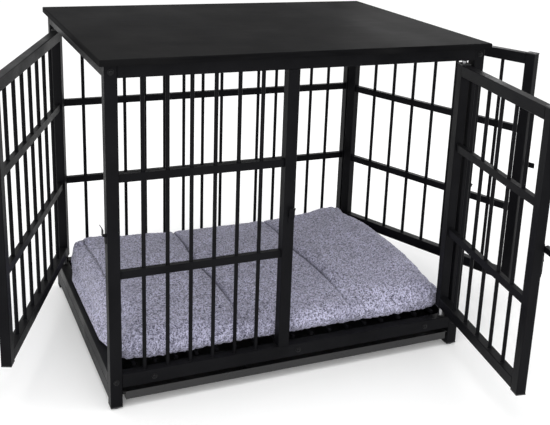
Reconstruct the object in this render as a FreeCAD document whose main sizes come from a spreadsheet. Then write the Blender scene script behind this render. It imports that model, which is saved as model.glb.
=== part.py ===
"""Furniture-style pet crate: a tube frame under a board top, barred walls and doors, a tray and a pad.

Millimetres. The origin is on the floor under the middle of the cage, +X to the right seen from the front,
+Y from the front to the back, +Z up. The doors stand open as in the photograph.
"""
import FreeCAD, Part
import math
import os
import re

# Driving dimensions, kept in the sheet and read from there by every piece
size = {
    # whole cage, over the corner posts and from the floor to the top of the board
    "crate_width": 1000.0,
    "crate_depth": 750.0,
    "crate_height": 880.0,
    # board top
    "board_thickness": 15.0,
    "board_overhang": 12.0,
    "board_edge_radius": 3.0,
    # square tube of the posts and top beams
    "tube_width": 30.0,
    "tube_wall": 1.5,
    "tube_corner": 1.6,
    # bottom beams, taller than the top ones
    "floor_beam_low": 57.0,
    "floor_beam_height": 35.0,
    # middle front post, left of the front door
    "mid_post_offset": -42.0,
    # feet under the posts
    "foot_height": 7.0,
    "foot_flange": 3.0,
    "foot_insert": 14.0,
    "foot_diameter": 22.0,
    # round bars and the flat rails that they pass through
    "bar_diameter": 10.0,
    "rail_height": 20.0,
    "rail_depth": 14.0,
    "low_rail_level": 355.0,
    "high_rail_level": 598.0,
    "bar_hole_clearance": 0.1,
    "front_bars": 6,
    "back_bars": 14,
    "front_door_bars": 5,
    "side_door_bars": 7,
    # floor grid of rods on two flat crossbars
    "floor_rods": 17,
    "floor_rod_size": 8.0,
    "floor_rod_margin": 38.0,
    "floor_rod_end_gap": 3.0,
    "crossbar_width": 25.0,
    "crossbar_thickness": 5.0,
    "crossbar_spread": 310.0,
    # tray runners and the tray that slides on them
    "runner_low": 21.0,
    "runner_thickness": 2.0,
    "runner_reach": 62.0,
    "tray_side_gap": 2.0,
    "tray_rim": 6.0,
    "tray_wall": 1.5,
    "tray_height": 21.5,
    "tray_front_setback": 1.0,
    "tray_back_gap": 3.0,
    "tray_clearance": 0.3,
    # padded mat on the floor grid
    "cushion_side_gap": 2.0,
    "cushion_end_gap": 2.0,
    "cushion_height": 74.0,
    "cushion_back_shift": 6.0,
    "cushion_seam_height": 60.0,
    "cushion_end_height": 44.0,
    "cushion_corner": 45.0,
    "cushion_draw_in": 7.0,
    "cushion_clearance": 0.3,
    # doors
    "stile_width": 30.0,
    "stile_depth": 25.0,
    "door_floor_gap": 32.0,
    "door_top_gap": 13.0,
    "hinge_offset": 21.0,
    "free_gap": 5.0,
    "cap_thickness": 3.0,
    "cap_insert": 12.0,
    "front_door_open": 81.4,
    "left_door_open": 21.8,
    "right_door_open": 22.5,
    # pivot pins and the flanged bushes that they turn in
    "pin_diameter": 8.0,
    "pin_reach": 14.0,
    "pin_collar_diameter": 13.0,
    "running_clearance": 0.08,
    "thrust_clearance": 0.1,
    "bush_diameter": 12.0,
    "bush_flange_diameter": 18.0,
    "bush_flange": 3.0,
    "bush_reach": 10.0,
    # drop latches and their keeper hooks
    "latch_level": 425.0,
    "latch_plate_width": 22.0,
    "latch_plate_height": 82.0,
    "latch_plate_thickness": 3.0,
    "latch_slider_width": 15.0,
    "latch_slider_thickness": 3.0,
    "latch_slider_gap": 0.3,
    "latch_tongue_height": 15.0,
    "latch_travel": 22.0,
    "latch_rivet_rise": 38.0,
    "latch_rivet_diameter": 5.0,
    "latch_rivet_head": 11.0,
    "latch_rivet_head_height": 2.0,
    "latch_slot_clearance": 0.3,
    "latch_end_margin": 6.0,
    "knob_stem_diameter": 7.0,
    "knob_stem": 4.0,
    "knob_diameter": 14.0,
    "knob_length": 7.0,
    "keeper_width": 15.0,
    "keeper_inset": 3.0,
    "keeper_thickness": 2.0,
    "keeper_gap": 6.0,
    "keeper_flare": 5.0,
    "keeper_foot_height": 20.0,
    "keeper_prong_height": 24.0,
    "keeper_flare_height": 9.0,
    "keeper_top_gap": 3.0,
    # bolts through the posts and the front bottom beam, and the screws that hold the board
    "bolt_diameter": 6.0,
    "bolt_head_radius": 6.0,
    "bolt_head": 3.5,
    "bolt_clearance": 0.2,
    "end_nut_gap": 3.0,
    "beam_bolt_inset": 80.0,
    "hex_nut_radius": 6.4,
    "hex_nut_height": 5.0,
    "screw_diameter": 5.0,
    "screw_head_diameter": 10.0,
    "screw_head": 3.0,
    "screw_bite": 9.0,
    "screw_inset": 150.0,
    # press clearance of a plug in a tube, and the overrun of every cut
    "plug_clearance": 0.1,
    "overrun": 2.0,
}

doc = FreeCAD.newDocument("pet_crate")
sheet = doc.addObject("Spreadsheet::Sheet", "sizes")
for row, (alias, number) in enumerate(size.items(), start=1):
    sheet.set(f"A{row}", alias)
    sheet.set(f"B{row}", str(number))
    sheet.setAlias(f"B{row}", alias)
doc.recompute()

# Edges of a box that run along each axis, in the order in which a box numbers them
LONG_EDGES = {"x": (9, 10, 11, 12), "y": (2, 4, 6, 8), "z": (1, 3, 5, 7)}
# Turns that lay a cylinder, made along z, along another axis
LAY = {
    "x": FreeCAD.Rotation(FreeCAD.Vector(0, 1, 0), 90),
    "y": FreeCAD.Rotation(FreeCAD.Vector(1, 0, 0), -90),
    "z": FreeCAD.Rotation(),
}
ALIASES = re.compile(r"\b(" + "|".join(size) + r")\b")

# Levels and places that several pieces share, as formulas of the sheet's cells
POST_TOP = "(crate_height - board_thickness)"
TOP_BEAM_LOW = "(crate_height - board_thickness - tube_width)"
TOP_BEAM_MID = "(crate_height - board_thickness - tube_width/2)"
FLOOR_TOP = "(floor_beam_low + floor_beam_height)"
FLOOR_BEAM_MID = "(floor_beam_low + floor_beam_height/2)"
CLEAR_WIDTH = "(crate_width - 2*tube_width)"
CLEAR_DEPTH = "(crate_depth - 2*tube_width)"
FRONT_LINE = "(tube_width/2 - crate_depth/2)"
BACK_LINE = "(crate_depth/2 - tube_width/2)"
LEFT_LINE = "(tube_width/2 - crate_width/2)"
RIGHT_LINE = "(crate_width/2 - tube_width/2)"
SIDE_HINGE = "(crate_depth/2 - tube_width - hinge_offset)"
FRONT_HINGE = "(crate_width/2 - tube_width - hinge_offset)"
MID_POST_RIGHT = "(mid_post_offset + tube_width/2)"
FRONT_REACH = f"({FRONT_HINGE} - {MID_POST_RIGHT} - free_gap)"
SIDE_REACH = "(crate_depth - 2*tube_width - hinge_offset - free_gap)"
PIN_HOLE = "(bush_diameter + 2*plug_clearance)"
BOLT_HOLE = "(bolt_diameter + 2*bolt_clearance)"
SCREW_HOLE = "(screw_diameter + 2*bolt_clearance)"
END_NUT = "(hinge_offset - bush_diameter/2 - end_nut_gap)"
DOOR_LOW = "(floor_beam_low + floor_beam_height + door_floor_gap)"
DOOR_HIGH = "(crate_height - board_thickness - tube_width - door_top_gap)"


def bind(thing, slot, formula):
    """Tie one property of an object to the sheet by a formula of its aliases."""
    thing.setExpression(slot, ALIASES.sub(r"sizes.\1", formula))


def move(thing, place):
    """Tie the three coordinates of an object's place to the sheet."""
    for axis, formula in zip("xyz", place):
        bind(thing, f"Placement.Base.{axis}", formula)
    return thing


def box(low, span):
    """A block from its lowest corner and its three lengths."""
    solid = doc.addObject("Part::Box", "block")
    for slot, formula in zip(("Length", "Width", "Height"), span):
        bind(solid, slot, formula)
    return move(solid, low)


def rod(axis, start, diameter, length):
    """A round rod that starts at a point and runs along one axis."""
    solid = doc.addObject("Part::Cylinder", "rod")
    solid.Placement = FreeCAD.Placement(FreeCAD.Vector(), LAY[axis])
    bind(solid, "Radius", f"({diameter})/2")
    bind(solid, "Height", length)
    return move(solid, start)


def prism(sides, axis, start, radius, length):
    """A bar with flat sides, its corners at a radius, that starts at a point and runs along one axis."""
    solid = doc.addObject("Part::Prism", "prism")
    solid.Polygon = sides
    solid.Placement = FreeCAD.Placement(FreeCAD.Vector(), LAY[axis])
    bind(solid, "Circumradius", radius)
    bind(solid, "Height", length)
    return move(solid, start)


def octagon(axis, start, diameter, length):
    """An eight-sided bar, or the tool for such a punched hole, whose flats lie round a diameter."""
    return prism(8, axis, start, f"({diameter})/2/cos(180/8)", length)


def cut(base, tools):
    """A base with one or more tools taken out of it."""
    tool = tools[0]
    if len(tools) > 1:
        tool = doc.addObject("Part::MultiFuse", "cutter")
        tool.Shapes = tools
    result = doc.addObject("Part::Cut", "cut")
    result.Base = base
    result.Tool = tool
    return result


def fuse(pieces):
    """Several touching solids as one."""
    result = doc.addObject("Part::MultiFuse", "joined")
    result.Shapes = pieces
    return result


def tube(axis, low, span, holes=()):
    """A hollow tube with eased long edges and any cross holes."""
    eased = doc.addObject("Part::Chamfer", "eased")
    eased.Base = box(low, span)
    corner = size["tube_corner"]
    eased.Edges = [(edge, corner, corner) for edge in LONG_EDGES[axis]]
    bore_low = [
        f"({text}) - overrun" if name == axis else f"({text}) + tube_wall"
        for name, text in zip("xyz", low)
    ]
    bore_span = []
    for name, text in zip("xyz", span):
        change = "2*overrun" if name == axis else "-2*tube_wall"
        bore_span.append(f"({text}) + {change}")
    return cut(eased, [box(bore_low, bore_span), *holes])


def outline(body, loops):
    """A sketch on a body's XZ plane, one closed loop of straight lines for each list of points."""
    sketch = body.newObject("Sketcher::SketchObject", "outline")
    plane = next(feature for feature in body.Origin.OriginFeatures if feature.Role == "XZ_Plane")
    sketch.AttachmentSupport = [(plane, "")]
    sketch.MapMode = "FlatFace"
    for loop in loops:
        for start, end in zip(loop, loop[1:] + loop[:1]):
            sketch.addGeometry(Part.LineSegment(FreeCAD.Vector(*start, 0), FreeCAD.Vector(*end, 0)))
    return sketch


def plate(loops, thickness):
    """A flat piece cut to an outline in x and z, as thick as the formula says towards -y."""
    body = doc.addObject("PartDesign::Body", "plate")
    sketch = outline(body, loops)
    pad = body.newObject("PartDesign::Pad", "pad")
    pad.Profile = sketch
    bind(pad, "Length", thickness)
    return body


nodes = []


def node(label, pieces):
    """Name a sub-part; several pieces become a group of separate solids."""
    piece = pieces[0]
    if len(pieces) > 1:
        piece = doc.addObject("Part::Compound", "group")
        piece.Links = pieces
    piece.Label = label
    nodes.append(piece)
    return piece


def bar_places(start, clear, count):
    """Centres of a row of bars, evenly pitched over a clear width."""
    return [f"({start} + {clear}*{index + 1}/{count + 1})" for index in range(count)]


# Board top, rounded all round its upper edge
def make_board():
    board = doc.addObject("PartDesign::Body", "board")
    slab = board.newObject("PartDesign::AdditiveBox", "slab")
    bind(slab, "Length", "crate_width + 2*board_overhang")
    bind(slab, "Width", "crate_depth + 2*board_overhang")
    bind(slab, "Height", "board_thickness")
    doc.recompute()
    soft = board.newObject("PartDesign::Fillet", "soft_edges")
    top = slab.Shape.BoundBox.ZMax
    numbered = enumerate(slab.Shape.Edges, start=1)
    rim = [f"Edge{number}" for number, edge in numbered if edge.BoundBox.ZMin > top / 2]
    soft.Base = (slab, rim)
    bind(soft, "Radius", "board_edge_radius")
    move(board, ("-crate_width/2 - board_overhang", "-crate_depth/2 - board_overhang", POST_TOP))
    pilots = []
    for line in (LEFT_LINE, RIGHT_LINE):
        for side in ("-", ""):
            start = (line, f"{side}({CLEAR_DEPTH}/2 - screw_inset)", f"{POST_TOP} - overrun")
            pilots.append(octagon("z", start, SCREW_HOLE, "screw_bite + 2*overrun"))
    node("top_board", [cut(board, pilots)])


# Corner posts with bolt holes at the beams, and the middle front post
def make_posts():
    columns = {"left": ("-crate_width/2", LEFT_LINE), "right": ("crate_width/2 - tube_width", RIGHT_LINE)}
    rows = {"front": "-crate_depth/2", "back": "crate_depth/2 - tube_width"}
    for row_name, low_y in rows.items():
        for column_name, (low_x, line) in columns.items():
            holes = []
            for level in (FLOOR_BEAM_MID, TOP_BEAM_MID):
                begin = (line, f"{low_y} - overrun", level)
                holes.append(octagon("y", begin, BOLT_HOLE, "tube_width + 2*overrun"))
            span = ("tube_width", "tube_width", f"{POST_TOP} - foot_height")
            node(f"{row_name}_{column_name}_post", [tube("z", (low_x, low_y, "foot_height"), span, holes)])
    low = ("mid_post_offset - tube_width/2", "-crate_depth/2", FLOOR_TOP)
    node("front_mid_post", [tube("z", low, ("tube_width", "tube_width", f"{TOP_BEAM_LOW} - {FLOOR_TOP}"))])


# Top beams between the posts, with holes for the upper pivot bushes and, in the side beams, the board screws
def make_top_beams():
    for name, low_y, line in (
        ("front", "-crate_depth/2", FRONT_LINE),
        ("back", "crate_depth/2 - tube_width", BACK_LINE),
    ):
        holes = []
        if name == "front":
            start = (FRONT_HINGE, line, f"{TOP_BEAM_LOW} - overrun")
            holes.append(octagon("z", start, PIN_HOLE, "tube_wall + 2*overrun"))
        low = ("tube_width - crate_width/2", low_y, TOP_BEAM_LOW)
        node(f"{name}_top_beam", [tube("x", low, (CLEAR_WIDTH, "tube_width", "tube_width"), holes)])
    for name, low_x, line in (
        ("left", "-crate_width/2", LEFT_LINE),
        ("right", "crate_width/2 - tube_width", RIGHT_LINE),
    ):
        begin = (line, SIDE_HINGE, f"{TOP_BEAM_LOW} - overrun")
        holes = [octagon("z", begin, PIN_HOLE, "tube_wall + 2*overrun")]
        for side in ("-", ""):
            start = (line, f"{side}({CLEAR_DEPTH}/2 - screw_inset)", f"{TOP_BEAM_LOW} - overrun")
            holes.append(octagon("z", start, SCREW_HOLE, "tube_width + 2*overrun"))
        low = (low_x, "tube_width - crate_depth/2", TOP_BEAM_LOW)
        node(f"{name}_top_beam", [tube("y", low, ("tube_width", CLEAR_DEPTH, "tube_width"), holes)])


# Bottom beams between the posts, with holes for the lower pivot bushes and the front bolts
def make_floor_beams():
    pin_start = f"{FLOOR_TOP} - tube_wall - overrun"
    for name, low_y, line in (
        ("front", "-crate_depth/2", FRONT_LINE),
        ("back", "crate_depth/2 - tube_width", BACK_LINE),
    ):
        holes = []
        if name == "front":
            holes.append(octagon("z", (FRONT_HINGE, line, pin_start), PIN_HOLE, "tube_wall + 2*overrun"))
            for step in (-1, 0, 1):
                start = (f"{step}*({CLEAR_WIDTH}/2 - beam_bolt_inset)", f"{low_y} - overrun", FLOOR_BEAM_MID)
                holes.append(octagon("y", start, BOLT_HOLE, "tube_width + 2*overrun"))
        low = ("tube_width - crate_width/2", low_y, "floor_beam_low")
        node(f"{name}_bottom_beam", [tube("x", low, (CLEAR_WIDTH, "tube_width", "floor_beam_height"), holes)])
    for name, low_x, line in (
        ("left", "-crate_width/2", LEFT_LINE),
        ("right", "crate_width/2 - tube_width", RIGHT_LINE),
    ):
        hole = octagon("z", (line, SIDE_HINGE, pin_start), PIN_HOLE, "tube_wall + 2*overrun")
        low = (low_x, "tube_width - crate_depth/2", "floor_beam_low")
        node(f"{name}_bottom_beam", [tube("y", low, ("tube_width", CLEAR_DEPTH, "floor_beam_height"), [hole])])


# Feet: a round glide under the post, with a square plug up into the tube
def make_feet():
    feet = []
    for low_x, line in (("-crate_width/2", LEFT_LINE), ("crate_width/2 - tube_width", RIGHT_LINE)):
        for low_y, row in (("-crate_depth/2", FRONT_LINE), ("crate_depth/2 - tube_width", BACK_LINE)):
            glide = rod("z", (line, row, "0"), "foot_diameter", "foot_height - foot_flange")
            rim_low = (low_x, low_y, "foot_height - foot_flange")
            flange = box(rim_low, ("tube_width", "tube_width", "foot_flange"))
            inset = "tube_wall + plug_clearance"
            width = f"tube_width - 2*({inset})"
            plug_low = (f"{low_x} + {inset}", f"{low_y} + {inset}", "foot_height")
            plug = box(plug_low, (width, width, "foot_insert"))
            feet.append(fuse([glide, flange, plug]))
    node("foot_glides", feet)


# Rails with a hole for each bar, and the bars that pass through them
def make_grille(prefix, start, clear, line, low, high, count):
    places = bar_places(start, clear, count)
    rails = []
    for level in ("low_rail_level", "high_rail_level"):
        rail_low = (start, f"{line} - rail_depth/2", f"{level} - rail_height/2")
        flat = box(rail_low, (clear, "rail_depth", "rail_height"))
        holes = []
        for place in places:
            begin = (place, line, f"{level} - rail_height/2 - overrun")
            holes.append(octagon("z", begin, "bar_diameter + 2*bar_hole_clearance", "rail_height + 2*overrun"))
        rails.append(cut(flat, holes))
    bars = [rod("z", (place, line, low), "bar_diameter", f"{high} - {low}") for place in places]
    return node(f"{prefix}_rails", rails), node(f"{prefix}_bars", bars)


def make_fixed_walls():
    left = "(tube_width - crate_width/2)"
    front_clear = f"(mid_post_offset - tube_width/2 - {left})"
    make_grille("front_panel", left, front_clear, FRONT_LINE, FLOOR_TOP, TOP_BEAM_LOW, size["front_bars"])
    make_grille("back_panel", left, CLEAR_WIDTH, BACK_LINE, FLOOR_TOP, TOP_BEAM_LOW, size["back_bars"])


# Floor of square rods between the front and back beams, laid on two flat crossbars
def make_floor():
    count = size["floor_rods"]
    begin = "(tube_width + floor_rod_end_gap - crate_depth/2)"
    rods = []
    for index in range(count):
        low = f"({CLEAR_WIDTH} - 2*floor_rod_margin)*({index}/{count - 1} - 1/2) - floor_rod_size/2"
        rods.append(box((low, begin, FLOOR_TOP), ("floor_rod_size", f"-2*{begin}", "floor_rod_size")))
    node("floor_rods", rods)
    bars = []
    for side in ("-", ""):
        low_y = f"{side}crossbar_spread/2 - crossbar_width/2"
        low = ("tube_width - crate_width/2", low_y, f"{FLOOR_TOP} - crossbar_thickness")
        bars.append(box(low, (CLEAR_WIDTH, "crossbar_width", "crossbar_thickness")))
    node("floor_crossbars", bars)


# Angle runners under the side beams, and the shallow tray with a flanged rim that slides on them
def make_tray():
    thin = size["runner_thickness"]
    low = size["runner_low"]
    high = size["floor_beam_low"]
    reach = size["runner_reach"]
    angle = [(0, low), (reach, low), (reach, low + thin), (thin, low + thin), (thin, high), (0, high)]
    runners = []
    for side, turn, end in (("-", 0, "crate_depth/2 - tube_width"), ("", 180, "tube_width - crate_depth/2")):
        runner = plate([angle], CLEAR_DEPTH)
        runner.Placement = FreeCAD.Placement(FreeCAD.Vector(), FreeCAD.Rotation(FreeCAD.Vector(0, 0, 1), turn))
        runners.append(move(runner, (f"{side}crate_width/2", end, "0")))
    node("tray_runners", runners)
    half = f"({CLEAR_WIDTH}/2 - tray_side_gap)"
    inner = f"({half} - tray_rim)"
    base = "(runner_low + runner_thickness + tray_clearance)"
    front = "(tray_front_setback - crate_depth/2)"
    depth = f"(crate_depth/2 - tray_back_gap - {front})"
    pan = box((f"-{inner}", front, base), (f"2*{inner}", depth, "tray_height"))
    rim_low = f"{base} + tray_height - tray_wall"
    rim = box((f"-{half}", front, rim_low), (f"2*{half}", depth, "tray_wall"))
    hollow_low = (f"tray_wall - {inner}", f"{front} + tray_wall", f"{base} + tray_wall")
    hollow = box(hollow_low, (f"2*{inner} - 2*tray_wall", f"{depth} - 2*tray_wall", "tray_height"))
    node("tray", [cut(fuse([pan, rim]), [hollow])])


# Padded mat in three sewn sections, crowned between its seams, its front and back edges drawn in
def cushion_section(x, half, height):
    shoulder_share = 0.7
    bulge_share = 0.42
    shoulder = height * shoulder_share
    bulge = shoulder * bulge_share

    def point(y, z):
        return FreeCAD.Vector(x, y, z)

    foot_front, foot_back = point(bulge - half, 0), point(half - bulge, 0)
    top_front, top_back = point(bulge - half, shoulder), point(half - bulge, shoulder)
    edges = [
        Part.LineSegment(foot_front, foot_back),
        Part.Arc(foot_back, point(half, shoulder / 2), top_back),
        Part.Arc(top_back, point(0, height), top_front),
        Part.Arc(top_front, point(-half, shoulder / 2), foot_front),
    ]
    return Part.Wire([edge.toShape() for edge in edges])


def make_cushion():
    width = size["crate_width"] - 2 * (size["tube_width"] + size["cushion_side_gap"])
    depth = size["crate_depth"] - 2 * (size["tube_width"] + size["cushion_end_gap"])
    corner = size["cushion_corner"]
    section_count = 3
    step_shares = (0, 0.04, 0.14, 0.3, 0.5, 0.7, 0.86, 0.96, 1)
    pillows = []
    for index in range(section_count):
        wires = []
        for step in step_shares:
            crown = math.sqrt(1 - (2 * step - 1) ** 4)
            x = width * ((index + step) / section_count - 1 / 2)
            at_end = abs(x) * 2 >= width - size["overrun"]
            edge = size["cushion_end_height"] if at_end else size["cushion_seam_height"]
            height = edge + (size["cushion_height"] - edge) * crown
            inset = max(0, corner - (width / 2 - abs(x)))
            round_in = corner - math.sqrt(corner**2 - inset**2)
            waist = size["cushion_draw_in"] * (1 - (2 * x / width) ** 2)
            wires.append(cushion_section(x, depth / 2 - waist - round_in, height))
        pillows.append(Part.makeLoft(wires, True, True))
    mat = doc.addObject("Part::Feature", "mat")
    mat.Shape = pillows[0].multiFuse(pillows[1:])
    move(mat, ("0", "cushion_back_shift", f"{FLOOR_TOP} + floor_rod_size + cushion_clearance"))
    node("cushion", [mat])


# Bolts through the posts into end nuts in the side beams, bolts and nuts of the front beam, board screws
def bolt(sign, place, shank):
    """A hexagon bolt along y: its head stands out of a face towards sign, its shank runs the other way."""
    x, face, level = place
    head_low = face if sign > 0 else f"{face} - bolt_head"
    stem_low = f"{face} - ({shank})" if sign > 0 else face
    head = prism(6, "y", (x, head_low, level), "bolt_head_radius", "bolt_head")
    return fuse([head, octagon("y", (x, stem_low, level), "bolt_diameter", shank)])


def make_fasteners():
    bolts = []
    end_nuts = []
    inset = "(tube_wall + plug_clearance)"
    width = f"tube_width - 2*{inset}"
    for line in (LEFT_LINE, RIGHT_LINE):
        for level, height, low in (
            (FLOOR_BEAM_MID, "floor_beam_height", "floor_beam_low"),
            (TOP_BEAM_MID, "tube_width", TOP_BEAM_LOW),
        ):
            for sign, face, nut_start in (
                (-1, "-crate_depth/2", "tube_width - crate_depth/2"),
                (1, "crate_depth/2", f"crate_depth/2 - tube_width - {END_NUT}"),
            ):
                bolts.append(bolt(sign, (line, face, level), f"tube_width + {END_NUT}"))
                block_low = (f"{line} - tube_width/2 + {inset}", nut_start, f"{low} + {inset}")
                block = box(block_low, (width, END_NUT, f"{height} - 2*{inset}"))
                start = (line, f"{nut_start} - overrun", level)
                thread = octagon("y", start, "bolt_diameter + 2*plug_clearance", f"{END_NUT} + 2*overrun")
                end_nuts.append(cut(block, [thread]))
    nuts = []
    for step in (-1, 0, 1):
        place = f"{step}*({CLEAR_WIDTH}/2 - beam_bolt_inset)"
        bolts.append(bolt(-1, (place, "-crate_depth/2", FLOOR_BEAM_MID), "tube_width + hex_nut_height"))
        seat = "tube_width - crate_depth/2"
        hexagon = prism(6, "y", (place, seat, FLOOR_BEAM_MID), "hex_nut_radius", "hex_nut_height")
        start = (place, f"{seat} - overrun", FLOOR_BEAM_MID)
        thread = octagon("y", start, "bolt_diameter + 2*plug_clearance", "hex_nut_height + 2*overrun")
        nuts.append(cut(hexagon, [thread]))
    node("frame_bolts", bolts)
    node("beam_end_nuts", end_nuts)
    node("front_beam_nuts", nuts)
    screws = []
    for line in (LEFT_LINE, RIGHT_LINE):
        for side in ("-", ""):
            place = f"{side}({CLEAR_DEPTH}/2 - screw_inset)"
            head_low = (line, place, f"{TOP_BEAM_LOW} - screw_head")
            head = octagon("z", head_low, "screw_head_diameter", "screw_head")
            shank = octagon("z", (line, place, TOP_BEAM_LOW), "screw_diameter", "tube_width + screw_bite")
            screws.append(fuse([head, shank]))
    node("board_screws", screws)


# Bushes in the beams above and below each hinge stile: a flange on the beam, a sleeve in its hole, a round bore
def make_bushes():
    bushes = []
    for x, y in ((FRONT_HINGE, FRONT_LINE), (LEFT_LINE, SIDE_HINGE), (RIGHT_LINE, SIDE_HINGE)):
        for flange_low, sleeve_low in (
            (FLOOR_TOP, f"{FLOOR_TOP} - bush_reach"),
            (f"{TOP_BEAM_LOW} - bush_flange", f"{TOP_BEAM_LOW} - bush_flange"),
        ):
            flange = prism(6, "z", (x, y, flange_low), "bush_flange_diameter/2", "bush_flange")
            sleeve = octagon("z", (x, y, sleeve_low), "bush_diameter", "bush_flange + bush_reach")
            bore_span = "bush_flange + bush_reach + 2*overrun"
            bore = rod("z", (x, y, f"{sleeve_low} - overrun"), "pin_diameter + 2*running_clearance", bore_span)
            bushes.append(cut(fuse([flange, sleeve]), [bore]))
    node("pivot_bushes", bushes)


# Keeper hooks: a foot on the post, a short shelf and a prong that flares outwards at its top
def make_keepers():
    thin = size["keeper_thickness"]
    gap = size["keeper_gap"]
    flare = size["keeper_flare"]
    prong_top = (
        size["latch_level"] + size["latch_plate_height"] - size["latch_end_margin"] - size["latch_tongue_height"]
        - size["keeper_top_gap"]
    )
    bend = prong_top - size["keeper_flare_height"]
    shelf = prong_top - size["keeper_prong_height"]
    foot = shelf - size["keeper_foot_height"]
    hook = [
        (0, foot), (thin, foot), (thin, shelf - thin), (gap + thin, shelf - thin), (gap + thin, bend),
        (gap + flare + thin, prong_top), (gap + flare, prong_top), (gap, bend), (gap, shelf), (0, shelf),
    ]
    near_y = "(tube_width - crate_depth/2 - keeper_inset)"
    places = (
        (-90, (f"{MID_POST_RIGHT} - keeper_inset", "-crate_depth/2", "0")),
        (180, ("-crate_width/2", f"{near_y} - keeper_width", "0")),
        (0, ("crate_width/2", near_y, "0")),
    )
    keepers = []
    for turn, place in places:
        keeper = plate([hook], "keeper_width")
        keeper.Placement = FreeCAD.Placement(FreeCAD.Vector(), FreeCAD.Rotation(FreeCAD.Vector(0, 0, 1), turn))
        keepers.append(move(keeper, place))
    node("latch_keepers", keepers)


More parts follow.
